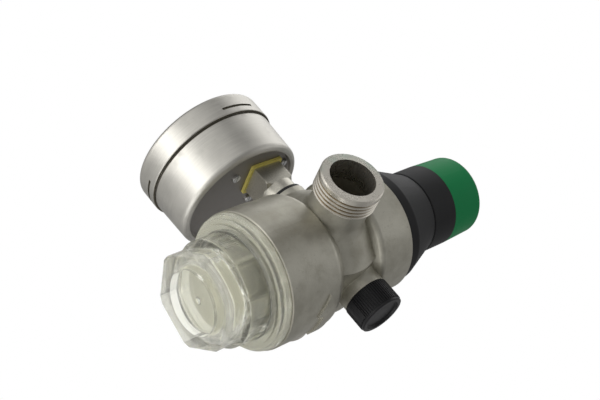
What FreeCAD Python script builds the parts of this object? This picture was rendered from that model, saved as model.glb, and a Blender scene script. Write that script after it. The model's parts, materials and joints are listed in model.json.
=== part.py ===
import FreeCAD, Part
import math
import os

# Pressure reducing valve for a 3/4 inch water line, as installed: pipe level, bonnet up, filter bowl down.
# Origin at the centre of the inlet end face. +X along the flow, +Z up the spring bonnet,
# +Y towards the blanking plug, so the pressure gauge stands on the -Y side. Millimetres.

V = FreeCAD.Vector

# pipe ports
face_to_face = 90.0
port_thread_d = 26.441
port_thread_pitch = 1.814
port_thread_len = 10.6
port_chamfer = 0.55
port_flare = 9.4
port_bore_d = 19.2

# housing
drum_d = 57.6
drum_depth = 38.3
drum_shoulder = 12.5
step_depth = 25.0
waist_d = 43.0
collar_height = 17.8
collar_wall = 3.55
wall = 2.6
gallery_depth = 5.0
gallery_top = 14.0
chamber_height = 9.0

# side ports for gauge and plug
side_port_z = 5.6
side_reach = 0.5
gauge_thread_d = 13.157
gauge_pilot_d = 4.6
boss_wall = 3.2215
shank_len = 10.2
tap_depth = 11.8
plug_height = 10.95

# bowl and filter
bowl_flange_d = 56.6
bowl_flange_t = 5.2
bowl_body_d = 44.0
bowl_thread_d = 44.8
bowl_thread_len = 10.3
bowl_wall = 3.4
bowl_depth = 20.35
bowl_hex_af = 37.0
bowl_hex_height = 10.4
bowl_floor = 6.6
dish_d = 26.8
screen_d = 28.4
cage_wall = 1.5

# valve insert, seat and stem
seat_bore_d = 14.0
seat_ring_wall = 2.6
insert_wall = 3.2
insert_bottom = 17.5
stem_d = 6.0
lift_at_rest = 1.5

# spring, diaphragm, bonnet and knob
spring_mean_d = 22.0
spring_wire_d = 2.6
spring_turns = 4.5
spring_length = 21.0
spring_slack = 1.9
convolution_width = 5.8
diaphragm_grip = 3.15
diaphragm_t = 1.5
rim_t = 1.7
slip_ring_t = 1.9
bonnet_engagement = 3.8
bonnet_collar = 6.0
bonnet_skirt = 24.0
neck_wall = 1.8
adjusting_room = 13.0
bonnet_crown = 3.2
spindle_d = 8.0
knob_wall = 2.1
knob_floor = 3.0
cap_height = 18.4

# gauge
gauge_d = 60.0
bezel_wall = 1.0
gauge_standoff = 14.5
gauge_depth = 21.5
bezel_depth = 11.4
bezel_slot = 1.2
seam_width = 0.8
socket_inset = 8.3
gauge_heading = 228.0
socket_square = 14.0
gasket_margin = 1.25
tube_inset = 9.0

# clearances
running = 0.05
thread_gap = 0.05
slip = 0.3
seat_gap = 0.15

mid = face_to_face / 2
# radii, from the spring outwards
spring_r = spring_mean_d / 2
spring_room = spring_r + spring_wire_d / 2 + spring_slack
neck_r = spring_room + neck_wall
knob_r = neck_r + slip + knob_wall
chamber_r = spring_room + convolution_width
gallery_r = chamber_r - 3.0
bonnet_bore = chamber_r + diaphragm_grip
bonnet_r = bonnet_bore - thread_gap
collar = bonnet_bore + collar_wall
side_face = collar + side_reach
drum = drum_d / 2
waist = waist_d / 2
# heights above the pipe axis, from the insert's ledge up to the knob
diaphragm_ledge = gallery_top + chamber_height
plate_top = diaphragm_ledge
bonnet_seat = diaphragm_ledge + rim_t + slip_ring_t
collar_top = bonnet_seat + bonnet_engagement
collar_low = collar_top - collar_height
spring_top = plate_top + spring_length
bonnet_inside = spring_top + adjusting_room
bonnet_top = bonnet_inside + bonnet_crown
knob_low = collar_top + bonnet_skirt
knob_floor_low = bonnet_top + 0.8
knob_floor_top = knob_floor_low + knob_floor
cap_low = knob_floor_top + 3.6
knob_top = cap_low + cap_height
# side ports
thread_r = gauge_thread_d / 2
boss = thread_r + boss_wall
# depths below the pipe axis
flange_top = -drum_depth - seat_gap
flange_low = flange_top - bowl_flange_t
hex_low = flange_low - bowl_depth
bowl_bore_top = -insert_bottom + 3.5


def bent(points, plane):
    """Closed wire through points (u, v) or (u, v, corner radius), mapped to space by plane."""
    edges = []
    corners = []
    count = len(points)
    for i, point in enumerate(points):
        here = V(point[0], point[1], 0)
        if len(point) < 3:
            corners.append((here, None, here))
            continue
        before = V(points[i - 1][0], points[i - 1][1], 0) - here
        after = V(points[(i + 1) % count][0], points[(i + 1) % count][1], 0) - here
        before.normalize()
        after.normalize()
        half = before.getAngle(after) / 2
        reach = point[2] / math.tan(half)
        bisector = before + after
        bisector.normalize()
        centre = here + bisector * (point[2] / math.sin(half))
        corners.append((here + before * reach, centre - bisector * point[2], here + after * reach))
    for i, (start, middle, end) in enumerate(corners):
        if middle is not None:
            edges.append(Part.Arc(plane(start), plane(middle), plane(end)).toShape())
        following = corners[(i + 1) % count][0]
        if (following - end).Length > 1e-6:
            edges.append(Part.makeLine(plane(end), plane(following)))
    return Part.Wire(edges)


def on_axis(shape, base, axis):
    shape.Placement = FreeCAD.Placement(V(*base), FreeCAD.Rotation(V(0, 0, 1), V(*axis)))
    return shape


def turned(points, base=(mid, 0, 0), axis=(0, 0, 1), angle=360):
    """Turn a (radius, height) outline about an axis; height runs along the axis from base."""
    face = Part.Face(bent(points, lambda p: V(p.x, 0, p.y)))
    return on_axis(face.revolve(V(0, 0, 0), V(0, 0, 1), angle), base, axis)


def rod(radius, low, high, base=(mid, 0, 0), axis=(0, 0, 1)):
    return turned([(0, low), (radius, low), (radius, high), (0, high)], base, axis)


def ring(inner, outer, low, high, base=(mid, 0, 0), axis=(0, 0, 1)):
    return turned([(inner, low), (outer, low), (outer, high), (inner, high)], base, axis)


def prism(points, low, high, base=(mid, 0, 0), axis=(0, 0, 1)):
    face = Part.Face(bent(points, lambda p: V(p.x, p.y, low)))
    return on_axis(face.extrude(V(0, 0, high - low)), base, axis)


def regular(count, flats, turn=0.0, corner=None):
    reach = flats / 2 / math.cos(math.pi / count)
    points = []
    for i in range(count):
        angle = math.radians(turn + 360.0 * i / count)
        point = (reach * math.cos(angle), reach * math.sin(angle))
        points.append(point if corner is None else point + (corner,))
    return points


def toothed(count, root, tip, share, first=0, last=None):
    """Points of a toothed rim; share is the part of each pitch taken by the tooth at its tip."""
    points = []
    pitch = 2 * math.pi / count
    for i in range(first, count if last is None else last):
        for offset, radius in ((-0.5 * share - 0.12, root), (-0.5 * share, tip), (0.5 * share, tip),
            (0.5 * share + 0.12, root)):
            angle = (i + offset) * pitch
            points.append((radius * math.cos(angle), radius * math.sin(angle)))
    return points


def spun(shape, degrees, base=(mid, 0, 0), axis=(0, 0, 1)):
    copy = shape.copy()
    copy.rotate(V(*base), V(*axis), degrees)
    return copy


def around(shape, count, base=(mid, 0, 0), axis=(0, 0, 1), start=0.0):
    return [spun(shape, start + 360.0 * i / count, base, axis) for i in range(count)]


def o_ring(radius, wire, height, base=(mid, 0, 0), axis=(0, 0, 1)):
    return on_axis(Part.makeTorus(radius, wire, V(0, 0, height)), base, axis)


nodes = {}

case_r = gauge_d / 2
tube_r = case_r - tube_inset
gauge_offset = tube_r - socket_inset

# side port line and the frame the gauge is built in: x towards its socket, z from its back wall out of the dial
side_base = (mid, 0, side_port_z)
heading = math.radians(gauge_heading)
recess = 2.8
back_wall = side_face + gauge_standoff + recess
gauge_centre = (mid + gauge_offset * math.cos(heading), -back_wall,
    side_port_z + gauge_offset * math.sin(heading))
towards_socket = V(-math.cos(heading), 0, -math.sin(heading))
dial_out = V(0, -1, 0)
gauge_side = dial_out.cross(towards_socket)
gauge_frame = FreeCAD.Matrix(
    towards_socket.x, gauge_side.x, dial_out.x, gauge_centre[0],
    towards_socket.y, gauge_side.y, dial_out.y, gauge_centre[1],
    towards_socket.z, gauge_side.z, dial_out.z, gauge_centre[2],
    0, 0, 0, 1)
centred = (0, 0, 0)


def placed(shape, matrix):
    copy = shape.copy()
    copy.Placement = FreeCAD.Placement(matrix).multiply(copy.Placement)
    return copy


# ---- housing ----

def port_profile():
    """Neck with thread crests, out to the chamfered end face; height is the distance from mid."""
    crest = port_thread_d / 2
    root = crest - 0.64 * port_thread_pitch
    thread_start = mid - port_thread_len
    neck = root - 0.1
    flare = crest + port_flare
    points = [(0, 0), (flare, 0), (flare, 13), (neck, thread_start - 9.9, 7), (neck, thread_start)]
    at = thread_start + 0.3
    while at + port_thread_pitch < mid - 1.4:
        points.append((root, at))
        points.append((crest, at + 0.42 * port_thread_pitch))
        points.append((crest, at + 0.58 * port_thread_pitch))
        at += port_thread_pitch
    points += [(root, at), (crest, at + 0.42 * port_thread_pitch), (crest, mid - port_chamfer),
               (crest - port_chamfer, mid), (0, mid)]
    return points


def boss_profile():
    flare = side_face - 14.2
    return [(0, 0), (boss + 6.5, 0), (boss + 6.5, flare), (boss, flare + 8.5, 5), (boss, side_face),
        (0, side_face)]


outer = turned([
    (0, -drum_depth), (drum - 0.4, -drum_depth), (drum, -drum_depth + 0.4), (drum, -step_depth),
    (drum - 0.4, -step_depth + 0.2), (drum - 0.4, -drum_shoulder, 3),
    (waist + 1.3, -drum_shoulder + 7.5, 6), (waist, -drum_shoulder + 16.5, 8),
    (waist, collar_low - 1.8, 1.5), (collar, collar_low + 0.4, 2.6), (collar, collar_top), (0, collar_top)])
necks = [turned(port_profile(), (mid, 0, 0), (way, 0, 0)) for way in (1, -1)]
bosses = [turned(boss_profile(), side_base, (0, way, 0)) for way in (1, -1)]
arrow = prism([(-12, -2.2), (3, -2.2), (3, -5), (12, 0), (3, 5), (3, 2.2),
    (-12, 2.2)], drum - 6, drum + 0.7,
              (mid, 0, -drum_shoulder - 6.1), (0, 1, 0))
arrow = arrow.common(rod(drum + 0.5, -drum_depth + 2, -6))
housing = outer.multiFuse(necks + bosses + [arrow])

seat_r = seat_bore_d / 2
seat_ring_r = seat_r + seat_ring_wall
insert_r = seat_ring_r + insert_wall
spigot_r = bowl_thread_d / 2
port_bore = port_bore_d / 2
cavities = [
    rod(spigot_r + thread_gap, -drum_depth - 1, bowl_bore_top),
    rod(insert_r + running, bowl_bore_top - 1, 0.0),
    rod(gallery_r, -gallery_depth, gallery_top),
    rod(chamber_r, gallery_top - 0.001, diaphragm_ledge + 1),
    rod(bonnet_bore, diaphragm_ledge, collar_top + 1),
    rod(port_bore, 15.5, mid + 1, (mid, 0, 0), (1, 0, 0)),
    rod(port_bore, 21.0, mid + 1, (mid, 0, 0), (-1, 0, 0)),
]
for way in (1, -1):
    cavities.append(rod(thread_r + thread_gap, side_face - tap_depth, side_face + 1, side_base, (0, way,
        0)))
    cavities.append(rod(gauge_pilot_d / 2, 11.0, side_face - tap_depth + 0.6, side_base, (0, way, 0)))
pocket = ring(gallery_r + wall, drum - wall - 0.6, bowl_bore_top - 6.0, 0.0)
pocket = pocket.common(Part.makeBox(mid, 17.0, 30.0, V(0, -8.5, -22)))
cavities.append(pocket)
housing = housing.cut(cavities[0].multiFuse(cavities[1:]))
nodes["housing"] = housing

# ---- filter bowl ----
body_r = bowl_body_d / 2
flange_r = bowl_flange_d / 2
inner_r = body_r - bowl_wall
hex_r = bowl_hex_af / 2
hex_high = hex_low + bowl_hex_height
groove_low = -drum_depth + 7.1
groove_high = groove_low + 2.2
groove_r = spigot_r - 1.7
spigot_top = -drum_depth + bowl_thread_len
bowl = turned([
    (0, hex_low), (body_r, hex_low, 1.2), (body_r, flange_low, 0.8), (flange_r - 3.4, flange_low),
    (flange_r - 3.4, flange_low + 1.1), (flange_r - 1.6, flange_low + 1.1, 0.4),
    (flange_r - 1.2, flange_low + 2.6), (flange_r - 0.4, flange_low + 2.6, 0.3),
    (flange_r, flange_top, 0.3), (spigot_r, flange_top), (spigot_r, groove_low), (groove_r, groove_low),
    (groove_r, groove_high), (spigot_r, groove_high), (spigot_r, spigot_top), (0, spigot_top)])
wrench = prism(regular(6, bowl_hex_af, 44.0, 2.0), hex_low - 1, hex_high)
keep = turned([
    (0, hex_low - 1), (hex_r + 1.9, hex_low - 1), (hex_r + 1.9, hex_high - 0.8), (body_r + 2, hex_high + 2),
    (body_r + 2, spigot_top + 8), (flange_r + 2, spigot_top + 8), (flange_r + 2, spigot_top + 9),
    (0, spigot_top + 9)])
blank = rod(flange_r + 3, hex_high, spigot_top + 10)
bowl = bowl.common(wrench.fuse(blank)).common(keep.fuse(blank))
hollow = turned([
    (0, hex_low + bowl_floor), (hex_r - 3.2, hex_low + bowl_floor, 1.5),
    (hex_r - 3.2, hex_low + bowl_floor + 4.4, 1.0), (inner_r, hex_low + bowl_floor + 5.9, 1.0),
    (inner_r, spigot_top + 1), (0, spigot_top + 1)])
dish = rod(dish_d / 2, hex_low - 1, hex_low + 3.2)
nub = turned([(0, hex_low + 3.3), (0, hex_low + 2.0), (1.3, hex_low + 2.2), (1.7, hex_low + 3.3)])
bowl = bowl.cut(hollow).cut(dish).fuse(nub)
for turn in (10, 18, 130, 138, 250, 258):
    rib = Part.makeBox(1.2, 0.8, 6.5, V(mid + body_r - 0.8, -0.4, hex_high + 1.6))
    bowl = bowl.fuse(spun(rib, turn - 30))
nodes["filter_bowl"] = bowl
nodes["bowl_o_ring"] = o_ring(spigot_r - 0.85, 0.8, (groove_low + groove_high) / 2)

# ---- filter ----
screen_r = screen_d / 2
cage_r = screen_r + cage_wall
cage_low = hex_low + bowl_floor + 5.4
screen_low = cage_low + 2.4
screen_high = -insert_bottom - 1.7
cage_high = -insert_bottom + 2.9
cage_top = ring(insert_r, cage_r, screen_high, cage_high)
cage_foot = turned([
    (0, cage_low), (cage_r - 1.2, cage_low), (cage_r, cage_low + 1.0), (cage_r, screen_low + 1.0),
    (screen_r + 0.5, screen_low + 1.0), (screen_r + 0.5, screen_low), (0, screen_low)])
cage_rib = Part.makeBox(1.0, 1.8, screen_high - screen_low, V(mid + screen_r + 0.5, -0.9, screen_low + 0.4))
bay = (screen_high - screen_low) / 3
hoops = [ring(screen_r + 0.5, cage_r - 0.1, screen_low + bay * i, screen_low + bay * i + 1.2) for i in (1,
    2)]
nodes["filter_cage"] = cage_top.multiFuse([cage_foot] + around(cage_rib, 6) + hoops)
nodes["filter_screen"] = ring(screen_r, screen_r + 0.45, screen_low, screen_high)

# ---- valve insert, seat and disc ----
stem_r = stem_d / 2
stud_r = stem_r - 0.5
stem_bore = stem_r + running
insert_groove = (-insert_bottom + 6.1, -insert_bottom + 8.3)
insert_top = -insert_bottom + 11.5
insert_flange = gallery_top + 0.1
insert_flange_top = gallery_top + 3.0
body = turned([
    (seat_ring_r, -insert_bottom), (insert_r - 0.5, -insert_bottom), (insert_r, -insert_bottom + 0.5),
    (insert_r, insert_groove[0]), (insert_r - 1.5, insert_groove[0]), (insert_r - 1.5, insert_groove[1]),
    (insert_r, insert_groove[1]), (insert_r, insert_top), (seat_ring_r, insert_top)])
flange = turned([
    (stem_bore, gallery_top - 6.0), (stem_r + 3.4, gallery_top - 6.0),
    (stem_r + 3.4, gallery_top - 1.0, 1.0), (insert_r, insert_flange), (chamber_r - 0.4, insert_flange),
    (chamber_r - 0.4, insert_flange_top), (stem_bore, insert_flange_top)])
gland = (gallery_top - 3.2, gallery_top - 1.2)
column = ring(seat_ring_r, insert_r, insert_top - 0.5, insert_flange + 0.4)
column = column.common(Part.makeBox(insert_r + 8, 5.0, 60, V(mid, -2.5, -30)))
vent_r = gallery_r - 1.6
vents = []
for i in range(6):
    turn = math.radians(60 * i + 30)
    vents.append(rod(1.7, gallery_top - 1, gallery_top + 5, (mid + vent_r * math.cos(turn),
        vent_r * math.sin(turn), 0)))
insert = body.multiFuse([flange] + around(column, 4, start=45)).cut(ring(stem_r - 0.5, stem_r + 1.5,
    *gland))
nodes["valve_insert"] = insert.cut(vents[0].multiFuse(vents[1:]))
seat_face = -insert_bottom - 0.7
nodes["seat_ring"] = turned([
    (seat_r, seat_face), (seat_r + 0.7, seat_face), (seat_r + 1.6, -insert_bottom),
    (seat_ring_r, -insert_bottom), (seat_ring_r, -insert_bottom + 5.5),
    (seat_r + 0.6, -insert_bottom + 5.5), (seat_r, -insert_bottom + 4.7)])
nodes["insert_o_ring"] = o_ring(insert_r - 0.76, 0.74, sum(insert_groove) / 2)
nodes["stem_o_ring"] = ring(stem_bore, stem_r + 1.5, *gland)

disc_top = seat_face - lift_at_rest
disc_seal_r = seat_ring_r + 0.2
disc_r = seat_ring_r + 1.0
disc_bore = stem_r - 0.8
nodes["disc_seal"] = ring(stem_r + 0.2, disc_seal_r, disc_top - 2.4, disc_top)
nodes["valve_disc"] = turned([
    (disc_bore, disc_top - 4.8), (disc_r - 2.0, disc_top - 4.8), (disc_r, disc_top - 3.0, 0.6),
    (disc_r, disc_top - 0.6), (disc_seal_r + 0.05, disc_top - 0.6), (disc_seal_r + 0.05, disc_top - 2.45),
    (disc_bore, disc_top - 2.45)])
screw_head = prism(regular(6, stem_d + 2.0), disc_top - 7.6, disc_top - 4.85)
nodes["disc_screw"] = screw_head.fuse(rod(disc_bore - 0.05, disc_top - 4.9, disc_top + 2.2))

# heights of the pack that grips the diaphragm's middle
pack_low = diaphragm_ledge - 4.75
web_low = pack_low + 1.2
web_top = web_low + diaphragm_t
nut_top = plate_top + 3.6
stem_top = nut_top + 1.0
stem = turned([
    (0, disc_top - 2.4), (stem_r, disc_top - 2.4), (stem_r, disc_top + 0.05),
    (stem_r + 2.4, disc_top + 0.05), (stem_r + 2.4, disc_top + 1.6, 0.5), (stem_r, disc_top + 3.2),
    (stem_r, pack_low - 0.05), (stud_r, pack_low - 0.05), (stud_r, stem_top - 0.6),
    (stud_r - 0.6, stem_top), (0, stem_top)])
nodes["valve_stem"] = stem.cut(rod(disc_bore - 0.04, disc_top - 3, disc_top + 3.0))

# ---- diaphragm pack ----
pack_bore = stud_r + 0.05
clamp_r = bonnet_bore - 0.1
fold_r = chamber_r - 2.4
washer_r = spring_room - 1.6
rim_top = diaphragm_ledge + rim_t
nodes["diaphragm"] = turned([
    (pack_bore, web_low), (washer_r, web_low, 1.0), (fold_r, web_low + 1.75, 1.0),
    (fold_r + 0.6, diaphragm_ledge), (clamp_r, diaphragm_ledge), (clamp_r, rim_top),
    (fold_r - 0.4, rim_top, 1.2), (fold_r - 1.4, web_top + 1.45, 1.0), (washer_r - 0.2, web_top, 0.8),
    (pack_bore, web_top)])
nodes["diaphragm_washer"] = turned([
    (pack_bore, pack_low), (washer_r - 0.6, pack_low), (washer_r, pack_low + 0.55), (washer_r, web_low),
    (pack_bore, web_low)])
seat_out = spring_r + 2.0
seat_in = spring_r - 2.0
nodes["diaphragm_plate"] = turned([
    (pack_bore, web_top), (spring_room - 1.9, web_top), (spring_room, web_top + 0.85),
    (spring_room, plate_top + 1.2), (seat_out, plate_top + 1.2), (seat_out, plate_top),
    (seat_in, plate_top), (seat_in, plate_top + 0.6), (seat_in - 3.2, plate_top + 0.6),
    (seat_in - 3.2, plate_top), (pack_bore, plate_top)])
nodes["diaphragm_nut"] = prism(regular(6, stem_d + 2.5), plate_top, nut_top).cut(rod(pack_bore, 0,
    nut_top + 5))
nodes["slip_ring"] = ring(fold_r - 0.2, bonnet_bore - 0.15, rim_top, bonnet_seat)

# ---- bonnet, spring, spindle and knob ----
skirt_r = collar - 1.6
spindle_r = spindle_d / 2
spindle_bore = spindle_r + running
bonnet = turned([
    (spring_room, bonnet_seat), (bonnet_r, bonnet_seat), (bonnet_r, collar_top + 0.2),
    (skirt_r, collar_top + 0.2), (skirt_r, collar_top + bonnet_collar, 2.0), (knob_r - 0.2, knob_low - 0.4),
    (neck_r, knob_low - 0.4), (neck_r, bonnet_top - 0.6), (neck_r - 0.6, bonnet_top),
    (spindle_bore, bonnet_top), (spindle_bore, bonnet_inside), (spring_room, bonnet_inside)])
key_low = bonnet_seat + 0.2
key = Part.makeBox(2.0, 3.0, bonnet_inside + 0.2 - key_low, V(mid + spring_room - 1.4, -1.5, key_low))
nodes["spring_bonnet"] = bonnet.multiFuse(around(key, 2, start=90))
plate_boss = spindle_r + 4.0
plate = turned([
    (spindle_bore, spring_top), (spring_room - slip, spring_top), (spring_room - slip, spring_top + 2.4),
    (plate_boss, spring_top + 2.4, 1), (plate_boss, spring_top + 5.4), (spindle_bore, spring_top + 5.4)])
slots = around(Part.makeBox(4.0, 3.6, 8.0, V(mid + spring_room - 1.7, -1.8, spring_top - 1)), 2, start=90)
nodes["spring_plate"] = plate.cut(slots[0].fuse(slots[1]))

coil_low = plate_top + spring_wire_d / 2 + 0.02
coil_high = spring_top - spring_wire_d / 2 - 0.02
helix = Part.makeHelix((coil_high - coil_low) / spring_turns, coil_high - coil_low, spring_r)
section = Part.Wire(Part.Circle(V(spring_r, 0, 0), V(0, 1, 0), spring_wire_d / 2).toShape())
coil = Part.Wire(helix.Edges).makePipeShell([section], True, True)
coil.translate(V(mid, 0, coil_low))
nodes["adjusting_spring"] = coil

spindle_low = spring_top - 10.0
collar_face = bonnet_inside - 1.1
drive_flats = 5.4
drive_low = bonnet_top + 0.3
spindle = turned([
    (0, spindle_low), (spindle_r - 0.8, spindle_low), (spindle_r, spindle_low + 0.8),
    (spindle_r, collar_face - 2.7), (plate_boss, collar_face - 2.7, 0.6), (plate_boss, collar_face),
    (spindle_r, collar_face), (spindle_r, drive_low + 0.1), (0, drive_low + 0.1)])
drive = prism(regular(4, drive_flats, 45.0), drive_low, knob_floor_top)
screw_hole = rod(1.55, bonnet_inside - 2.0, knob_floor_top + 1)
nodes["adjusting_spindle"] = spindle.fuse(drive).cut(screw_hole)
nodes["thrust_washer"] = ring(spindle_r + 0.3, plate_boss + 1.0, collar_face + 0.1, bonnet_inside)

knob_bore = neck_r + slip
knob = turned([
    (knob_bore, knob_low), (knob_r, knob_low, 0.4), (knob_r, cap_low), (knob_r - 2.0, cap_low),
    (knob_r - 2.0, knob_floor_top), (0, knob_floor_top), (0, knob_floor_low), (knob_bore, knob_floor_low)])
nodes["adjusting_knob"] = knob.cut(prism(regular(4, drive_flats + 0.1, 45.0), knob_floor_low - 1,
    knob_floor_top + 1))
cap_base = cap_low + 0.05
nodes["knob_cap"] = turned([
    (knob_r - 4.0, cap_low - 3.0), (knob_r - 2.05, cap_low - 3.0), (knob_r - 2.05, cap_base),
    (knob_r, cap_base), (knob_r - 0.7, knob_top, 2.2), (0, knob_top), (0, knob_top - 2.2),
    (knob_r - 3.2, knob_top - 2.2, 1.0), (knob_r - 3.2, cap_low + 1.0), (knob_r - 4.0, cap_low + 1.0)])
head_low = knob_floor_top + 0.02
screw = turned([
    (0, bonnet_inside - 1.0), (1.5, bonnet_inside - 1.0), (1.5, head_low), (4.2, head_low),
    (4.2, head_low + 1.6, 0.8), (0, head_low + 2.4)])
nodes["knob_screw"] = screw.cut(prism(regular(6, 2.5), head_low + 1.0, head_low + 3.0))

# ---- blanking plug ----
plug_face = side_face + seat_gap
plug_end = plug_face + plug_height
plug_r = boss + 0.3
rib_root = plug_r - 0.35
plug_axis = (0, 1, 0)
shank_end = side_face - shank_len
head = turned([
    (0, plug_face), (plug_r - 0.3, plug_face), (plug_r, plug_face + 0.4), (plug_r, plug_end, 1.1),
    (plug_r - 2.2, plug_end, 0.3), (plug_r - 2.6, plug_end - 1.0, 0.6),
    (0, plug_end - 1.0)], side_base, plug_axis)
knurl = prism(toothed(60, rib_root, plug_r, 0.4), plug_face - 1, plug_end - 1.3, side_base, plug_axis)
knurl = knurl.fuse(rod(rib_root, plug_face - 1, plug_end + 1, side_base, plug_axis))
patch = [(-2.6, plug_r - 2), (2.6, plug_r - 2), (2.6, plug_r - 0.05), (-2.6, plug_r - 0.05)]
grip = prism(patch, plug_face + 0.4, plug_end - 1.5, side_base, plug_axis)
plug = head.common(knurl).multiFuse([spun(grip, turn, side_base, plug_axis).common(head) for turn in (0,
    180)])
plug = plug.fuse(rod(thread_r, shank_end, plug_face + 0.5, side_base, plug_axis))
plug = plug.cut(ring(thread_r + 0.42, boss - 0.7, plug_face - 0.5, plug_face + 1.5, side_base, plug_axis))
nodes["blanking_plug"] = plug
nodes["plug_o_ring"] = o_ring((thread_r + 0.42 + boss - 0.7) / 2, 0.78, side_face + 0.82, side_base,
    plug_axis)

# ---- gauge: socket, case and bezel ----
gauge_axis = (0, -1, 0)
bezel_r = case_r + bezel_wall
recess_r = case_r - 3.8
case_front = gauge_depth - recess
bezel_front = case_front + bezel_depth
window_low = bezel_front - 3.9
gasket_low = window_low - 1.2
window_r = case_r - 0.5
sight_r = case_r - 2.8
shoulder_r = thread_r + 1.62
seal_end = side_face + 1.5
block_low = side_face + 6.3
nodes["gauge_seal"] = ring(thread_r + 0.1, boss - 0.5, side_face, seal_end, side_base, gauge_axis)
shank = turned([
    (0, shank_end), (thread_r, shank_end), (thread_r, seal_end), (shoulder_r, seal_end),
    (shoulder_r, block_low + 0.1), (0, block_low + 0.1)], side_base, gauge_axis)


def square(half_side, corner=None):
    return regular(4, 2 * half_side, 45.0, corner)


half = socket_square / 2
opening = half + 0.05
block = prism(square(half, 0.6), block_low, back_wall + 5.5, side_base, gauge_axis)
block = block.common(turned([
    (0, block_low - 0.5), (half + 0.9, block_low - 0.5), (half + 4, block_low + 2.5),
    (half + 4, back_wall + 6.5), (0, back_wall + 6.5)], side_base, gauge_axis))
arm_start = gauge_offset - 0.7
arm = placed(Part.makeBox(tube_r + 2.6 - arm_start, 9.0, 4.4, V(arm_start, -4.5, 1.1)), gauge_frame)
post = placed(Part.makeBox(5.2, 9.0, 11.0, V(tube_r - 2.6, -4.5, 1.1)), gauge_frame)
pressure_way = rod(1.6, shank_end - 1, back_wall + 4.5, side_base, gauge_axis)
socket = shank.multiFuse([block, arm, post]).cut(pressure_way)
gasket = prism(square(half + gasket_margin, 1.0), back_wall - 1.2, back_wall, side_base, gauge_axis)
gasket = gasket.cut(prism(square(opening), back_wall - 4, back_wall + 5, side_base, gauge_axis))
nodes["socket_gasket"] = gasket

case = turned([
    (0, 0), (recess_r, 0, 0.5), (recess_r + 0.2, 0.5 - recess, 0.4), (recess_r + 1.2, -recess, 0.4),
    (case_r - 0.6, 1.4 - recess, 2.6), (case_r, case_front - seam_width),
    (case_r - 0.5, case_front - seam_width), (case_r - 0.5, case_front + 0.4), (case_r, case_front + 0.4),
    (case_r, gasket_low), (case_r - 1.0, gasket_low), (case_r - 1.0, 1.0, 2.0), (0, 1.0)], centred)
case = placed(case, gauge_frame).cut(prism(square(opening), back_wall - 4, back_wall + 5, side_base,
    gauge_axis))
# the three case screws, as distances across and up from the socket's centre
case_screws = []
for across, up in ((3.5, -15.4), (3.4, 11.0), (-13.8, -2.1)):
    spot = (mid + across, 0, side_port_z + up)
    case = case.cut(rod(1.5, back_wall - 4, back_wall + 5, spot, gauge_axis))
    socket = socket.cut(rod(1.45, back_wall, back_wall + 4, spot, gauge_axis))
    head = turned([
        (0, back_wall - 1.1), (1.9, back_wall - 1.1, 0.4), (1.9, back_wall), (1.4, back_wall),
        (1.4, back_wall + 3.0), (0, back_wall + 3.0)], spot, gauge_axis)
    driver = prism([(-2, -0.25), (2, -0.25), (2, 0.25), (-2, 0.25)], back_wall - 2, back_wall - 0.6, spot,
        gauge_axis)
    case_screws.append(head.cut(driver))
nodes["gauge_socket"] = socket
nodes["gauge_case"] = case
nodes["case_screws"] = Part.makeCompound(case_screws)

bezel = turned([
    (case_r + 0.02, case_front), (bezel_r, case_front, 0.5), (bezel_r, bezel_front, 1.8),
    (sight_r, bezel_front, 0.5), (sight_r, bezel_front - 1.6), (window_r + 0.1, bezel_front - 1.6),
    (window_r + 0.1, gasket_low), (case_r + 0.02, gasket_low)], centred)
slot_span = 32.0
slot_low = case_front + bezel_depth / 4
slot = turned([
    (bezel_r - 0.6, slot_low), (bezel_r + 1, slot_low), (bezel_r + 1, slot_low + bezel_slot),
    (bezel_r - 0.6, slot_low + bezel_slot)], centred, angle=slot_span)
bezel_slots = around(slot, 3, centred, start=82.0 - slot_span / 2)
nodes["gauge_bezel"] = placed(bezel.cut(bezel_slots[0].multiFuse(bezel_slots[1:])), gauge_frame)
nodes["gauge_window"] = placed(rod(window_r, window_low, bezel_front - 1.6, centred), gauge_frame)
nodes["window_gasket"] = placed(ring(sight_r + 0.2, window_r, gasket_low, window_low, centred), gauge_frame)

# ---- gauge movement ----
# heights above the back wall
rear_low, rear_top = 5.5, 6.55
front_low, front_top = 13.5, 14.5
pillar_top = 15.3
dial_low, dial_top = 16.9, 17.5
plate_reach = tube_r - 4.5
outline = [(-12, -7, 2), (plate_reach, -7, 2), (plate_reach, 7, 2), (-12, 7, 2)]
front_outline = [(-12, -7, 2), (8, -7, 2), (8, 7, 2), (-12, 7, 2)]
pivot = -9.0
rear = prism(outline, rear_low, rear_top, centred)
front = prism(front_outline, front_low, front_top, centred)
arbor_hole = rod(0.8, rear_low - 1, front_top + 1, centred)
pivot_hole = rod(0.85, rear_low - 1, front_top + 1, (pivot, 0, 0))
pillars = []
for across, up in ((-10.4, -5.2), (-10.4, 5.2), (6.2, -5.2), (6.2, 5.2)):
    pillars.append(turned([
        (0, rear_top), (1.2, rear_top), (1.2, front_low), (0.7, front_low), (0.7, front_top),
        (1.5, front_top), (1.5, pillar_top), (0, pillar_top)], (across, up, 0)))
    front = front.cut(rod(0.75, front_low - 1, front_top + 1, (across, up, 0)))
nodes["movement_front_plate"] = placed(front.cut(arbor_hole.fuse(pivot_hole)), gauge_frame)
nodes["movement_pillars"] = placed(Part.makeCompound(pillars), gauge_frame)

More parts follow.
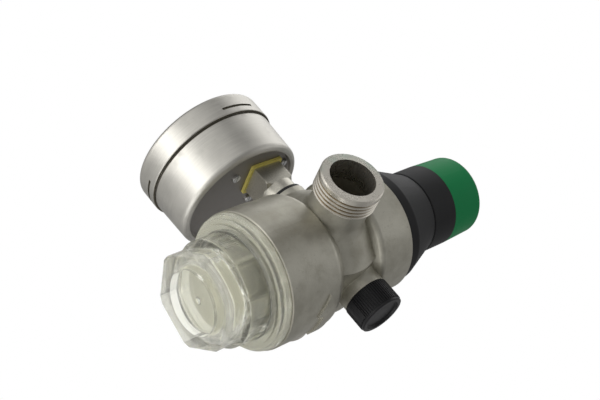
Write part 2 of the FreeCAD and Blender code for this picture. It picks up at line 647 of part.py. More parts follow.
dial = turned([
    (1.6, dial_low), (case_r - 3.2, dial_low), (case_r - 1.8, dial_low + 1.2),
    (case_r - 1.8, dial_low + 1.7), (case_r - 3.4, dial_top), (1.6, dial_top)], centred)
dial_feet = []
for up in (-5.2, 5.2):
    dial = dial.cut(rod(1.05, dial_low - 1, dial_top + 1, (6.2, up, 0)))
    dial_feet.append(turned([
        (0, pillar_top), (1.0, pillar_top), (1.0, dial_top), (1.7, dial_top, 0.2), (1.7, dial_top + 0.65),
        (0, dial_top + 0.65)], (6.2, up, 0)))
nodes["gauge_dial"] = placed(dial, gauge_frame)
nodes["dial_screws"] = placed(Part.makeCompound(dial_feet), gauge_frame)

# a 64 tooth sector drives an 8 tooth pinion, both shown at the bottom of the scale
tube_low, tube_high = 3.1, 9.9
sector_low = tube_high + 0.1
sector_top = sector_low + 0.9
rest_turn = -16.875
fan = [(0, -1.6)] + toothed(64, 7.84, 8.1, 0.3, -5, 5) + [(0, 1.6)]
tail_pin = 4.6
sector = prism(fan, sector_low, sector_top, centred)
tail = prism([(-5.6, -1.1), (0.5, -1.5), (0.5, 1.5), (-5.6, 1.1)], sector_low, sector_top, centred)
staff = rod(0.8, rear_low + 0.2, front_top - 0.1, centred)
sector = sector.multiFuse([tail, staff, rod(0.45, sector_low + 0.5, sector_top + 1.4, (-tail_pin, 0, 0))])
sector.rotate(V(0, 0, 0), V(0, 0, 1), rest_turn)
sector.translate(V(pivot, 0, 0))
nodes["sector_gear"] = placed(sector, gauge_frame)
pinion = prism(toothed(8, 0.8, 1.1, 0.2), sector_low - 0.8, sector_top + 0.8, centred)
pinion.rotate(V(0, 0, 0), V(0, 0, 1), 22.5 + 180)
pointer_low = dial_top + 1.4
nodes["pinion_arbor"] = placed(pinion.fuse(rod(0.75, rear_low + 0.2, pointer_low + 2.8, centred)),
    gauge_frame)

# link from the sector's tail to the free end of the tube
link_low = sector_top + 0.2
link_top = link_low + 0.7
tip_angle = 240.0
tip_turn = math.radians(tip_angle)
pin_x = pivot - tail_pin * math.cos(math.radians(rest_turn))
pin_y = -tail_pin * math.sin(math.radians(rest_turn))
link_far = tube_r * math.sin(tip_turn) + 1.787
link = prism([(-0.9, 1.0, 0.3), (-0.9, link_far - 1.0, 0.3), (0.9, link_far - 1.0, 0.3), (0.9, 1.0, 0.3)],
             link_low, link_top, (pin_x, pin_y, 0))
eye = prism([(-0.75, -0.55), (0.75, -0.55), (0.75, 0.55), (-0.75, 0.55)], link_low - 1, link_top + 1,
    (pin_x, pin_y, 0))
link_slot = prism([(-0.55, link_far), (0.55, link_far), (0.55, link_far + 4.2), (-0.55, link_far + 4.2)],
                  link_low - 1, link_top + 1, (pin_x, pin_y, 0))
nodes["sector_link"] = placed(link.cut(eye).cut(link_slot), gauge_frame)

tube_start = 11.5
tube = turned([
    (tube_r - 2.0, tube_low, 0.9), (tube_r + 2.0, tube_low, 0.9), (tube_r + 2.0, tube_high, 0.9),
    (tube_r - 2.0, tube_high, 0.9)], centred, angle=tip_angle - tube_start)
tube_inside = turned([
    (tube_r - 1.6, tube_low + 0.4, 0.5), (tube_r + 1.6, tube_low + 0.4, 0.5),
    (tube_r + 1.6, tube_high - 0.4, 0.5), (tube_r - 1.6, tube_high - 0.4, 0.5)], centred,
    angle=tip_angle - tube_start)
nodes["bourdon_tube"] = placed(spun(tube.cut(tube_inside), tube_start, centred), gauge_frame)
tip = spun(Part.makeBox(4.6, 3.6, 8.0, V(tube_r - 2.3, 0.0, tube_low - 0.4)), tip_angle, centred)
tip_x = tube_r * math.cos(tip_turn)
tip_y = tube_r * math.sin(tip_turn)
far_y = pin_y + link_far + 0.65
lug = prism([(pin_x - 0.9, far_y + 0.8), (pin_x + 1.0, far_y + 0.9), (tip_x + 1.7, tip_y + 0.79),
    (tip_x - 0.1, tip_y - 0.41),
             (pin_x - 0.9, far_y - 1.0)], link_low - 0.8, link_low - 0.1, centred)
far_pin = rod(0.42, link_low - 0.7, link_top + 0.6, (pin_x, far_y, 0))
nodes["tube_tip"] = placed(tip.multiFuse([lug, far_pin]), gauge_frame)

pointer_reach = case_r - 7.5
pointer = prism([
    (-7.5, -1.1, 0.4), (0, -0.9), (pointer_reach - 1.0, -0.25), (pointer_reach, 0),
    (pointer_reach - 1.0, 0.25), (0, 0.9), (-7.5, 1.1, 0.4)], pointer_low + 1.2, pointer_low + 1.6, centred)
hub = turned([(0.75, pointer_low), (1.8, pointer_low), (1.8, pointer_low + 1.6), (2.6, pointer_low + 1.6),
              (2.6, pointer_low + 2.2, 0.3), (0.75, pointer_low + 2.2)], centred)
pointer = pointer.fuse(hub).cut(rod(0.75, pointer_low - 1, pointer_low + 3, centred))
pointer.rotate(V(0, 0, 0), V(0, 0, 1), -45.0)
nodes["gauge_pointer"] = placed(pointer, gauge_frame)

# hairspring, held at its outer end by a stud on the rear plate
hair_low, hair_top = 7.3, 7.9
spiral = []
for side in (0.0, 0.18):
    turns = [i * 0.35 for i in range(46)]
    edge = [((1.6 + 0.34 * a + side) * math.cos(a), (1.6 + 0.34 * a + side) * math.sin(a)) for a in turns]
    spiral += edge if side == 0.0 else edge[::-1]
stud = rod(0.5, rear_top - 0.05, hair_top + 0.2, (-7.1, -0.3, 0))
nodes["movement_rear_plate"] = placed(rear.cut(arbor_hole.fuse(pivot_hole)).fuse(stud), gauge_frame)
nodes["hairspring"] = placed(prism(spiral, hair_low, hair_top, centred).cut(stud), gauge_frame)

os.makedirs("parts", exist_ok=True)
for name, shape in nodes.items():
    shape.exportStep("parts/" + name + ".step")
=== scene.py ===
import bpy, bmesh, json, math
import numpy as np
from mathutils import Matrix, Vector


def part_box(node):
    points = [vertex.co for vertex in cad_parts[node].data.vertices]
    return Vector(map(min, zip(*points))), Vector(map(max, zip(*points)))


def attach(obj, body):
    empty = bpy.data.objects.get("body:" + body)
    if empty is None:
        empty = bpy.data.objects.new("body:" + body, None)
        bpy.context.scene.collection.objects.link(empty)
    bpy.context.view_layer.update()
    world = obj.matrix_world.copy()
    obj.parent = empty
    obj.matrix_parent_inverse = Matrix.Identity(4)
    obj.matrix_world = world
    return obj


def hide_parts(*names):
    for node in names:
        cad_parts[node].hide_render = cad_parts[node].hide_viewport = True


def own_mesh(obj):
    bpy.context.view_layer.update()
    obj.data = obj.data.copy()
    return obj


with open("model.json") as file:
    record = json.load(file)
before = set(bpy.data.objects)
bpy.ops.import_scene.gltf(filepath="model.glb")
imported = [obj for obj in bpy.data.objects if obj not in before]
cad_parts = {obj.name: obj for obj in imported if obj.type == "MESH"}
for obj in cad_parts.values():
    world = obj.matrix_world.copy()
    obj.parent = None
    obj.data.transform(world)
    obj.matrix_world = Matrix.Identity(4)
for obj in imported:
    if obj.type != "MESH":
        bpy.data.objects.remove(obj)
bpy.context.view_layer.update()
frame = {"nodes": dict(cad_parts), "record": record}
nodes = frame["nodes"]
record = frame["record"]
mm = 0.001
print("frame loaded:", len(nodes), "nodes")


def boxOf(node):
    low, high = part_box(node)
    return np.array(low), np.array(high)


housingLow, housingHigh = boxOf("housing")
valveX = (housingLow[0] + housingHigh[0]) / 2  # the valve's upright axis
valveAxis = (valveX, 0.0, 0.0)
plugLow, plugHigh = boxOf("blanking_plug")
sidePortZ = (plugLow[2] + plugHigh[2]) / 2
mounts = {mount["name"]: mount for mount in record["mounts"]}
threadRadius = mounts["inlet_thread"]["dims"]["r_mm"] * mm
boreRadius = mounts["inlet_bore"]["dims"]["r_mm"] * mm

caseLow, caseHigh = boxOf("gauge_case")
dialCentre = np.array([(caseLow[0] + caseHigh[0]) / 2, 0.0, (caseLow[2] + caseHigh[2]) / 2])
dialDown = np.array([valveX, 0.0, sidePortZ]) - dialCentre  # six o'clock is towards the socket
dialDown = dialDown / np.linalg.norm(dialDown)
dialOut = np.array([0.0, -1.0, 0.0])
dialRight = np.cross(-dialDown, dialOut)


# a wire is an output socket that adds its own Math node when it is used in an expression
class Wire:
    def __init__(self, paint, socket):
        self.paint, self.socket = paint, socket

    def __add__(self, other):
        return self.paint.maths("ADD", self, other)

    def __radd__(self, other):
        return self.paint.maths("ADD", other, self)

    def __sub__(self, other):
        return self.paint.maths("SUBTRACT", self, other)

    def __rsub__(self, other):
        return self.paint.maths("SUBTRACT", other, self)

    def __mul__(self, other):
        return self.paint.maths("MULTIPLY", self, other)

    def __rmul__(self, other):
        return self.paint.maths("MULTIPLY", other, self)

    def __truediv__(self, other):
        return self.paint.maths("DIVIDE", self, other)

    def __pow__(self, other):
        return self.paint.maths("POWER", self, other)

    def __abs__(self):
        return self.paint.maths("ABSOLUTE", self)


class Paint:
    def __init__(self, name):
        self.material = bpy.data.materials.new(name)
        self.material.use_nodes = True
        self.tree = self.material.node_tree
        self.tree.nodes.clear()
        self.place = self.node("TexCoord", out="Object")

    # any shader node: its settings first, then the values or links of its sockets
    def node(self, kind, settings=None, inputs=None, out=0):
        made = self.tree.nodes.new("ShaderNode" + kind)
        for key, value in (settings or {}).items():
            setattr(made, key, value)
        for key, value in (inputs or {}).items():
            socket = made.inputs[key]
            if isinstance(value, Wire):
                self.tree.links.new(value.socket, socket)
            elif socket.type == "RGBA":
                socket.default_value = (*value, 1)
            else:
                socket.default_value = value
        return Wire(self, made.outputs[out]) if made.outputs else None

    def maths(self, operation, *values):
        return self.node("Math", {"operation": operation}, dict(enumerate(values)))

    def split(self, vector=None):
        first = self.node("SeparateXYZ", None, {0: vector or self.place})
        return [Wire(self, first.socket.node.outputs[i]) for i in range(3)]

    def join(self, x, y, z):
        return self.node("CombineXYZ", None, {0: x, 1: y, 2: z})

    def stretch(self, x, y, z):
        return self.node("VectorMath", {"operation": "MULTIPLY"}, {0: self.place, 1: (x, y, z)})

    def noise(self, scale, detail=3.0, rough=0.5, vector=None):
        inputs = {"Vector": vector or self.place, "Scale": scale, "Detail": detail, "Roughness": rough}
        return self.node("TexNoise", None, inputs)

    # 0 below low, 1 above high, smooth between
    def rise(self, value, low, high):
        settings = {"interpolation_type": "SMOOTHSTEP"}
        return self.node("MapRange", settings, {0: value, 1: low, 2: high, 3: 0.0, 4: 1.0})

    def mix(self, first, second, share):
        return self.node("Mix", {"data_type": "RGBA"}, {0: share, 6: first, 7: second}, out=2)

    def bump(self, height, depth, strength=1.0, below=None):
        inputs = {"Strength": strength, "Distance": depth, "Height": height}
        if below:
            inputs["Normal"] = below
        return self.node("Bump", None, inputs)

    # radius, angle and height about a line through a point along axis 0, 1 or 2
    def around(self, point, axis):
        parts = [part - float(centre) for part, centre in zip(self.split(), point)]
        height = parts.pop(axis)
        radius = (parts[0] * parts[0] + parts[1] * parts[1]) ** 0.5
        return radius, self.maths("ARCTAN2", parts[1], parts[0]), height

    def shader(self, base, rough, metallic=0.0, normal=None, alpha=None, **fixed):
        inputs = {"Base Color": base, "Roughness": rough, "Metallic": metallic}
        if normal:
            inputs["Normal"] = normal
        if alpha:
            inputs["Alpha"] = alpha
        inputs.update({key.replace("_", " "): value for key, value in fixed.items()})
        return self.node("BsdfPrincipled", None, inputs)

    def output(self, shader):
        self.node("OutputMaterial", None, {"Surface": shader})
        return self.material

    def finish(self, *values, **fixed):
        return self.output(self.shader(*values, **fixed))


def dimmed(colour, share):
    return tuple(part * share for part in colour)


# satin nickel over a sand casting, turned bright on the pipe ends and brown in the thread's roots
castLook = dict(light=(0.46, 0.445, 0.385), dark=(0.33, 0.315, 0.262), pit=(0.20, 0.185, 0.15),
                turned=(0.56, 0.53, 0.47), stain=(0.20, 0.15, 0.08), bore=(0.42, 0.40, 0.33),
                verdigris=(0.26, 0.44, 0.38), gloss=0.47, turnedGloss=0.27, threadFrom=34.4 * mm,
                endFace=44.45 * mm, mouth=(36.5 * mm, 41.0 * mm), ringsPerMetre=26000.0)


def castBody(look):
    paint = Paint("cast_nickel")
    fromPipe, _, along = paint.around(valveAxis, 0)
    reach = abs(along)
    machined = paint.rise(reach, look["threadFrom"] - 0.3 * mm, look["threadFrom"] + 0.3 * mm)
    sand = paint.noise(1100.0, 3.0, 0.55)
    grain = paint.noise(3000.0, 3.0, 0.6)
    cloud = paint.noise(36.0, 4.0, 0.55)
    blotch = paint.noise(150.0, 3.0, 0.6)
    body = paint.mix(look["dark"], look["light"], paint.rise(cloud * 0.6 + blotch * 0.4, 0.32, 0.64))
    body = paint.mix(body, look["pit"], paint.rise(sand, 0.62, 0.76) * 0.4)
    root = paint.rise(fromPipe, threadRadius - 0.25 * mm, threadRadius - 0.75 * mm) * machined
    colour = paint.mix(body, look["turned"], machined)
    endFace = paint.rise(reach, look["endFace"] - 0.15 * mm, look["endFace"] + 0.15 * mm)
    root = root * (1 - endFace) * paint.rise(fromPipe, boreRadius + 0.3 * mm, boreRadius + 0.6 * mm)
    colour = paint.mix(colour, look["stain"], root * (paint.rise(blotch, 0.25, 0.5) * 0.45 + 0.5))
    colour = paint.mix(colour, look["verdigris"], endFace * paint.rise(cloud, 0.58, 0.72) * 0.35)
    inside = paint.rise(fromPipe, boreRadius + 0.25 * mm, boreRadius + 0.05 * mm)
    mouth = paint.rise(reach, *look["mouth"])
    colour = paint.mix(colour, look["bore"], inside * (1 - mouth * 0.9))
    rough = (look["gloss"] + (cloud - 0.5) * 0.22 + (sand - 0.5) * 0.10) * (1 - machined)
    rough = rough + (look["turnedGloss"] + (blotch - 0.5) * 0.20 + root * 0.2) * machined
    coarse = paint.bump(sand * (1 - machined * 0.92), 0.10 * mm, 0.5)
    fine = paint.bump(grain * (1 - machined * 0.7), 0.04 * mm, 0.45, coarse)
    rings = paint.maths("SINE", fromPipe * look["ringsPerMetre"] + cloud * 5.0)
    return paint.finish(colour, rough, 0.9, paint.bump(rings * endFace, 0.01 * mm, 0.35, fine))


# moulded plastic or rubber: fine eroded grain, uneven gloss and a trace of dust
def moulded(name, base, gloss, grainScale=3000.0, grainDepth=0.02, dust=0.04, sheen=0.35):
    paint = Paint(name)
    grain = paint.noise(grainScale, 2.0)
    cloud = paint.noise(60.0, 4.0, 0.62)
    scuff = paint.rise(paint.noise(1.0, 3.0, 0.6, paint.stretch(500.0, 500.0, 90.0)), 0.62, 0.78)
    dusty = tuple(part + dust for part in base)
    colour = paint.mix(base, dusty, paint.rise(cloud, 0.42, 0.78) * 0.6 + scuff * 0.3)
    rough = gloss + (cloud - 0.5) * 0.2 + (grain - 0.5) * 0.08 + scuff * 0.06
    normal = paint.bump(grain, grainDepth * mm, 0.5)
    return paint.finish(colour, rough, 0.0, normal, Specular_IOR_Level=sheen)


# metal with brushed streaks that run round an axis
def brushed(paint, point, axis, base, gloss, streak=0.012):
    radius, angle, height = paint.around(point, axis)
    streaks = paint.noise(1.0, 4.0, 0.65, paint.join(radius * 4200.0, angle * 2.0, height * 4200.0))
    cloud = paint.noise(42.0, 4.0, 0.6)
    stain = paint.rise(paint.noise(95.0, 3.0, 0.6), 0.55, 0.75)
    colour = paint.mix(dimmed(base, 0.80), base, paint.rise(streaks * 0.45 + cloud * 0.55, 0.34, 0.62))
    colour = paint.mix(colour, dimmed(base, 0.55), stain * 0.35)
    rough = gloss + (streaks - 0.5) * 0.16 + (cloud - 0.5) * 0.16 + stain * 0.06
    return colour, rough, paint.bump(streaks, streak * mm, 0.5)


def turnedSteel():
    paint = Paint("turned_steel")
    colour, rough, normal = brushed(paint, valveAxis, 2, (0.56, 0.56, 0.55), 0.30)
    return paint.finish(colour, rough, 1.0, normal)


# the gauge's case: brushed, with painted shade in the seam under the bezel and in its slots, and a darker back
# plate
gaugeLook = dict(base=(0.52, 0.505, 0.465), gloss=0.44, plate=(0.25, 0.235, 0.225), plateRadius=26.2 * mm,
                 paintedShade=(0.07, 0.06, 0.035), seam=0.4 * mm, slot=-3.45 * mm, slotRadius=30.85 * mm)


def gaugeSteel(look):
    paint = Paint("gauge_steel")
    colour, rough, normal = brushed(paint, dialCentre, 1, look["base"], look["gloss"])
    radius, _, height = paint.around(dialCentre, 1)
    fromBezel = height - float(boxOf("gauge_bezel")[1][1])
    # the back plate inside the recess is painted darker and a little rougher
    plate = paint.rise(radius, look["plateRadius"] + 0.2 * mm, look["plateRadius"] - 0.2 * mm)
    # painted shade: the seam under the bezel and the bezel's slots are painted dark, rougher and less metallic,
    # standing in for the shadow in them
    seam = paint.rise(abs(fromBezel - look["seam"]), 0.62 * mm, 0.42 * mm)
    slot = paint.rise(radius, look["slotRadius"] + 0.1 * mm, look["slotRadius"] - 0.1 * mm)
    slot = slot * paint.rise(abs(fromBezel - look["slot"]), 0.9 * mm, 0.6 * mm)
    shadeMask = paint.maths("MAXIMUM", seam, slot)
    colour = paint.mix(colour, look["plate"], plate * 0.85)
    colour = paint.mix(colour, look["paintedShade"], shadeMask * 0.9)
    return paint.finish(colour, rough + shadeMask * 0.25 + plate * 0.08, 1.0 - shadeMask * 0.6, normal)


# cut metal with a fine uneven grain
def machinedMetal(name, base, gloss, scale=1500.0):
    paint = Paint(name)
    fine = paint.noise(scale, 4.0, 0.6)
    cloud = paint.noise(70.0, 3.0)
    colour = paint.mix(dimmed(base, 0.72), base, paint.rise(cloud * 0.5 + fine * 0.5, 0.34, 0.62))
    rough = gloss + (cloud - 0.5) * 0.18 + (fine - 0.5) * 0.14
    return paint.finish(colour, rough, 1.0, paint.bump(fine, 0.02 * mm, 0.45))


# clear bowl: pale yellow green, with fine flow lines from the mould and a milky flange
bowlLook = dict(tint=(0.99, 0.99, 0.90), edge=(0.97, 0.975, 0.83), clear=1.0, seeThrough=0.72,
                milk=(0.86, 0.85, 0.72), haze=0.05, flangeHaze=0.20, flange=22.6 * mm)


def clearBowl(look):
    paint = Paint("clear_bowl")
    cloud = paint.noise(60.0, 3.0)
    flow = paint.noise(1.0, 3.0, 0.55, paint.stretch(180.0, 180.0, 900.0))
    colour = paint.mix(look["edge"], look["tint"], paint.rise(cloud, 0.3, 0.6))
    rough = 0.015 + paint.rise(flow, 0.55, 0.8) * 0.06 + cloud * 0.02
    alpha = look["seeThrough"] + (flow - 0.5) * 0.12
    normal = paint.bump(flow, 0.03 * mm, 0.4)
    clear = paint.shader(colour, rough, 0.0, normal, alpha, IOR=1.49, Transmission_Weight=look["clear"])
    milky = paint.shader(look["milk"], rough + 0.3, 0.0, normal)
    radius = paint.around(valveAxis, 2)[0]
    flange = paint.rise(radius, look["flange"] - 0.6 * mm, look["flange"] + 0.4 * mm)
    share = look["haze"] + flange * look["flangeHaze"] + (cloud - 0.5) * 0.06
    return paint.output(paint.node("MixShader", None, {0: share, 1: clear, 2: milky}))


def windowGlass():
    paint = Paint("window_glass")
    smear = paint.noise(80.0, 3.0)
    colour = paint.mix((0.97, 0.98, 0.98), (0.99, 1.0, 1.0), smear)
    return paint.finish(colour, 0.015 + smear * 0.03, 0.0, None, 0.30 + smear * 0.1,
                        IOR=1.5, Transmission_Weight=1.0)


# woven wire: two families of wires crossing round the screen, with open squares between
def wovenSteel(pitch=0.42 * mm, radius=14.4 * mm):
    paint = Paint("woven_steel")
    _, angle, height = paint.around(valveAxis, 2)
    warp = abs(paint.maths("FRACT", angle * (radius / pitch)) - 0.5) * 2.0
    weft = abs(paint.maths("FRACT", height / pitch) - 0.5) * 2.0
    wires = paint.maths("MAXIMUM", warp, weft)
    # painted shade and highlight: each wire is painted darker towards its edges and lighter along its middle
    colour = paint.mix((0.30, 0.29, 0.25), (0.66, 0.65, 0.60), paint.rise(wires, 0.55, 0.9))
    return paint.finish(colour, 0.34, 0.9, paint.bump(wires, 0.1 * mm, 0.6), paint.rise(wires, 0.50, 0.60))


# smooth paint, which can glow evenly
def enamel(name, base, gloss, glow=0.0):
    paint = Paint(name)
    fine = paint.noise(1200.0, 2.0)
    cloud = paint.noise(45.0, 3.0)
    colour = paint.mix(dimmed(base, 0.93), base, cloud)
    return paint.finish(colour, gloss + (fine - 0.5) * 0.1, 0.0, paint.bump(fine, 0.008 * mm, 0.3),
                        None, Emission_Color=colour, Emission_Strength=glow)


finishes = {
    "cast_body": castBody(castLook),
    "black_plastic": moulded("black_plastic", (0.013, 0.013, 0.014), 0.55, dust=0.008, sheen=0.16),
    "plug_plastic": moulded("plug_plastic", (0.010, 0.010, 0.011), 0.42, dust=0.006, sheen=0.22),
    "green_plastic": moulded("green_plastic", (0.006, 0.19, 0.060), 0.50, dust=0.008, sheen=0.08),
    "grey_plastic": moulded("grey_plastic", (0.48, 0.47, 0.40), 0.5),
    "yellow_plastic": moulded("yellow_plastic", (0.62, 0.53, 0.13), 0.55),
    "clear_plastic": clearBowl(bowlLook),
    "window": windowGlass(),
    "gauge_steel": gaugeSteel(gaugeLook),
    "socket_metal": machinedMetal("socket_metal", (0.56, 0.54, 0.47), 0.40),
    "steel": turnedSteel(),
    "steel_mesh": wovenSteel(),
    "spring_steel": machinedMetal("spring_steel", (0.34, 0.34, 0.35), 0.35),
    "brass": machinedMetal("brass", (0.70, 0.52, 0.24), 0.30),
    "copper_alloy": machinedMetal("copper_alloy", (0.64, 0.40, 0.20), 0.32),
    "rubber": moulded("rubber", (0.018, 0.018, 0.018), 0.62, dust=0.015, sheen=0.3),
    "dial_white": enamel("dial_white", (0.86, 0.86, 0.84), 0.5),
    "pointer_black": enamel("pointer_black", (0.018, 0.018, 0.018), 0.42),
}
slotOf = {part["node"]: part["material_slot"] for part in record["subparts"]}
for node, slot in slotOf.items():
    nodes[node].data.materials.clear()
    nodes[node].data.materials.append(finishes[slot])
print("materials on", len(slotOf), "nodes")


def addPiece(name, points, faces, slot, body, smooth):
    mesh = bpy.data.meshes.new(name)
    mesh.from_pydata(np.asarray(points).tolist(), [], faces)
    mesh.polygons.foreach_set("use_smooth", np.full(len(mesh.polygons), smooth))
    shell = bmesh.new()
    shell.from_mesh(mesh)
    bmesh.ops.recalc_face_normals(shell, faces=shell.faces)
    shell.to_mesh(mesh)
    shell.free()
    mesh.materials.append(finishes[slot])
    piece = bpy.data.objects.new(name, mesh)
    bpy.context.scene.collection.objects.link(piece)
    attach(piece, body)
    return piece


# faces of a tube: rows of points, each row a closed loop, with a flat cap at both ends
def tubeFaces(rows, columns, start=0):
    row, column = np.meshgrid(np.arange(rows - 1), np.arange(columns), indexing="ij")
    following = (column + 1) % columns
    here, above = row * columns + start, (row + 1) * columns + start
    walls = np.stack([here + column, here + following, above + following, above + column], -1)
    firstCap = (start + np.arange(columns))[::-1].tolist()
    lastCap = (start + (rows - 1) * columns + np.arange(columns)).tolist()
    return walls.reshape(-1, 4).tolist() + [firstCap, lastCap]


# adjusting spring: a round wire on a helix that rises evenly, but lies nearly flat in its end turns
springLook = dict(turns=6.5, endTurns=1.0, wire=2.6 * mm, meanDiameter=22.0 * mm, steps=560, sides=14,
                  endRise=0.42, shortest=15 / 21)


def adjustingSpring(look):
    low, high = boxOf("adjusting_spring")
    half = look["wire"] / 2
    turns = np.linspace(0, look["turns"], look["steps"])
    fromEnd = np.minimum(turns, look["turns"] - turns) / look["endTurns"]
    rise = look["endRise"] + (1 - look["endRise"]) * np.clip(fromEnd, 0, 1)
    climb = np.cumsum(rise) - rise[0]
    angle = 2 * math.pi * turns
    outward = np.stack([np.cos(angle), np.sin(angle), np.zeros_like(turns)], -1)
    centre = outward * (look["meanDiameter"] / 2) + (valveX, 0, 0)
    centre[:, 2] = low[2] + half + climb / climb[-1] * (high[2] - low[2] - 2 * half)
    along = np.gradient(centre, axis=0)
    along = along / np.linalg.norm(along, axis=1)[:, None]
    upward = np.cross(along, outward)
    side = (2 * math.pi * np.arange(look["sides"]) / look["sides"])[None, :, None]
    rings = centre[:, None] + half * (np.cos(side) * outward[:, None] + np.sin(side) * upward[:, None])
    faces = tubeFaces(look["steps"], look["sides"])
    piece = addPiece("coil_spring", rings.reshape(-1, 3), faces, "spring_steel", "housing", True)
    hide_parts("adjusting_spring")
    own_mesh(piece)


# dial print: a scale arc, ticks and plain numbers, raised a hair above the enamel
dialLook = dict(start=-45.0, sweep=-270.0, marks=50, outer=25.2 * mm, minor=23.6 * mm, major=21.8 * mm,
                numbers=18.2 * mm, digit=4.6 * mm, thin=0.22 * mm, thick=0.50 * mm, raised=0.03 * mm,
                sheet=0.6 * mm, steps=181)


# local is (towards six o'clock, towards three o'clock); height is above the dial's face
def onDial(local, height):
    local = np.asarray(local)
    place = dialCentre + local[..., :1] * dialDown + local[..., 1:2] * dialRight
    place[..., 1] = boxOf("gauge_dial")[1][1] - dialLook["sheet"] - height
    return place


def dialScale(look):
    marks = np.arange(look["marks"] + 1)
    angle = np.radians(look["start"] + look["sweep"] * marks / look["marks"])
    isMajor = marks % 5 == 0
    inner = np.where(isMajor, look["major"], look["minor"])
    outer = np.full(len(marks), look["outer"])
    half = np.where(isMajor, look["thick"], look["thin"]) / 2
    direction = np.stack([np.cos(angle), np.sin(angle)], -1)
    across = np.stack([-np.sin(angle), np.cos(angle)], -1)
    flat = np.stack([direction * radius[:, None] + across * (half * side)[:, None]
                     for radius, side in ((inner, -1), (outer, -1), (outer, 1), (inner, 1))], 1)
    blocks = np.stack([onDial(flat, 0.0), onDial(flat, look["raised"])], 1)
    points = [blocks.reshape(-1, 3)]
    faces = []
    for mark in marks.tolist():
        faces += tubeFaces(2, 4, 8 * mark)
    turn = np.radians(look["start"] + look["sweep"] * np.linspace(0, 1, look["steps"]))
    ring = np.stack([np.cos(turn), np.sin(turn)], -1)
    edges = (ring * (look["outer"] - look["thin"]), ring * look["outer"])
    loops = np.stack([onDial(edges[0], 0.0), onDial(edges[1], 0.0),
                      onDial(edges[1], look["raised"]), onDial(edges[0], look["raised"])], 1)
    faces += tubeFaces(look["steps"], 4, len(points[0]))
    points.append(loops.reshape(-1, 3))
    addPiece("dial_scale", np.concatenate(points), faces, "pointer_black", "housing", False)


def dialNumbers(look):
    turnText = Matrix([dialRight.tolist(), (-dialDown).tolist(), dialOut.tolist()]).transposed().to_4x4()
    points, faces = [], []
    for value in range(0, 11, 2):
        turn = math.radians(look["start"] + look["sweep"] * value / 10)
        text = bpy.data.curves.new("digits", "FONT")
        text.body, text.size, text.extrude = str(value), look["digit"], look["raised"] / 2
        text.align_x, text.align_y = "CENTER", "CENTER"
        maker = bpy.data.objects.new("digits", text)
        digits = bpy.data.meshes.new_from_object(maker)
        bpy.data.objects.remove(maker)
        spot = np.array([math.cos(turn), math.sin(turn)]) * look["numbers"]
        centre = onDial(spot, look["raised"] / 2)
        digits.transform(Matrix.Translation(centre.tolist()) @ turnText)
        faces += [[len(points) + index for index in face.vertices] for face in digits.polygons]
        points += [list(vertex.co) for vertex in digits.vertices]
    addPiece("dial_numbers", points, faces, "pointer_black", "housing", False)


adjustingSpring(springLook)
dialScale(dialLook)
dialNumbers(dialLook)
print("spring and dial print made")

# a plain pale floor far below, a pale room, and soft boxes
stageLook = dict(floorZ=-1.15, floorReach=9.0, floorColour=(0.90, 0.90, 0.89), floorGlow=0.16,
                 seen=1.0, lighting=0.46,
                 levels=((0.0, 0.55), (0.35, 0.40), (0.55, 0.62), (0.8, 0.95), (1.0, 1.0)))


def buildStage(look):
    reach, z = look["floorReach"], look["floorZ"]
    mesh = bpy.data.meshes.new("studio_floor")
    corners = [(-reach, -reach, z), (reach, -reach, z), (reach, reach, z), (-reach, reach, z)]
    mesh.from_pydata(corners, [], [(0, 1, 2, 3)])
    floor = bpy.data.objects.new("studio_floor", mesh)
    bpy.context.scene.collection.objects.link(floor)
    mesh.materials.append(enamel("studio_floor", look["floorColour"], 0.85, look["floorGlow"]))

    world = bpy.data.worlds.new("studio")
    bpy.context.scene.world = world
    world.use_nodes = True
    tree = world.node_tree
    tree.nodes.clear()
    kinds = ("TexCoord", "SeparateXYZ", "MapRange", "ValToRGB", "LightPath", "Math", "MixShader", "OutputWorld")
    made = {kind: tree.nodes.new("ShaderNode" + kind) for kind in kinds}
    light, seen = tree.nodes.new("ShaderNodeBackground"), tree.nodes.new("ShaderNodeBackground")
    made["MapRange"].inputs[1].default_value = -1.0
    ramp = made["ValToRGB"].color_ramp
    while len(ramp.elements) < len(look["levels"]):
        ramp.elements.new(0.5)
    for element, (spot, level) in zip(ramp.elements, look["levels"]):
        element.position, element.color = spot, (level, level, level, 1)
    light.inputs[1].default_value = look["lighting"]
    seen.inputs[0].default_value = (1, 1, 1, 1)
    seen.inputs[1].default_value = look["seen"]
    made["Math"].operation = "MAXIMUM"
    links = [(made["TexCoord"].outputs["Generated"], made["SeparateXYZ"].inputs[0]),
             (made["SeparateXYZ"].outputs[2], made["MapRange"].inputs[0]),
             (made["MapRange"].outputs[0], made["ValToRGB"].inputs[0]),
             (made["ValToRGB"].outputs[0], light.inputs[0]),
             (made["LightPath"].outputs["Is Camera Ray"], made["Math"].inputs[0]),
             (made["LightPath"].outputs["Is Transmission Ray"], made["Math"].inputs[1]),
             (made["Math"].outputs[0], made["MixShader"].inputs[0]),
             (light.outputs[0], made["MixShader"].inputs[1]),
             (seen.outputs[0], made["MixShader"].inputs[2]),
             (made["MixShader"].outputs[0], made["OutputWorld"].inputs[0])]
    for start, end in links:
        tree.links.new(start, end)


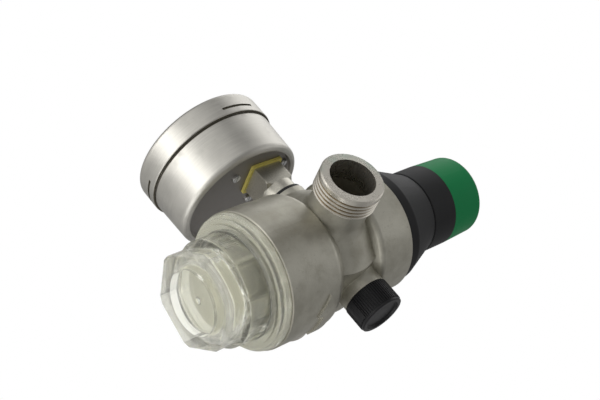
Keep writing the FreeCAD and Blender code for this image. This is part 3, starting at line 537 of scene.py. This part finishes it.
cameraLook = dict(position=(0.3887, 0.1772, -0.3057), right=(0.322, 0.602, 0.731),
                  ahead=(-0.673, -0.397, 0.624), lens=72.0)
viewAhead = Vector(cameraLook["ahead"]).normalized()
viewRight = Vector(cameraLook["right"])
viewRight = (viewRight - viewAhead * viewRight.dot(viewAhead)).normalized()
viewUp = viewRight.cross(viewAhead)
middle = Vector((valveX, -0.01, 0.0))


def buildCamera(look):
    data = bpy.data.cameras.new("camera")
    data.lens, data.sensor_width = look["lens"], 36.0
    data.clip_start, data.clip_end = 0.01, 50.0
    camera = bpy.data.objects.new("camera", data)
    bpy.context.scene.collection.objects.link(camera)
    turn = Matrix((viewRight, viewUp, -viewAhead)).transposed().to_4x4()
    camera.matrix_world = Matrix.Translation(look["position"]) @ turn
    bpy.context.scene.camera = camera


# each soft box: direction from the valve, distance, width, height and power
softBoxes = {
    "key": (viewUp * 0.25 - viewAhead * 0.55 - viewRight * 0.9, 1.0, 0.6, 0.8, 5.0),
    "sky": (viewUp * 0.9 - viewAhead * 0.45 - viewRight * 0.3, 0.9, 0.9, 0.7, 1.2),
    "low": (-viewRight * 0.6 - viewUp * 0.7 - viewAhead * 0.5, 1.0, 0.8, 0.8, 3.6),
    "top": (Vector((0.2, -0.6, 1.0)), 1.1, 0.9, 0.9, 3.4),
    "rim": (viewRight * 1.0 + viewUp * 0.3 + viewAhead * 0.2, 1.0, 0.5, 0.9, 0.8),
}


def buildLights():
    for name, (direction, distance, width, height, power) in softBoxes.items():
        data = bpy.data.lights.new(name, "AREA")
        data.shape, data.size, data.size_y, data.energy = "RECTANGLE", width, height, power
        box = bpy.data.objects.new(name, data)
        bpy.context.scene.collection.objects.link(box)
        way = direction.normalized()
        box.location = middle + way * distance
        box.rotation_mode = "QUATERNION"
        box.rotation_quaternion = way.to_track_quat("Z", "Y")
        box.visible_camera = False


buildStage(stageLook)
buildCamera(cameraLook)
buildLights()
bpy.context.scene.view_settings.view_transform = "Standard"
bpy.context.scene.view_settings.look = "None"
print("stage, camera and lights ready")
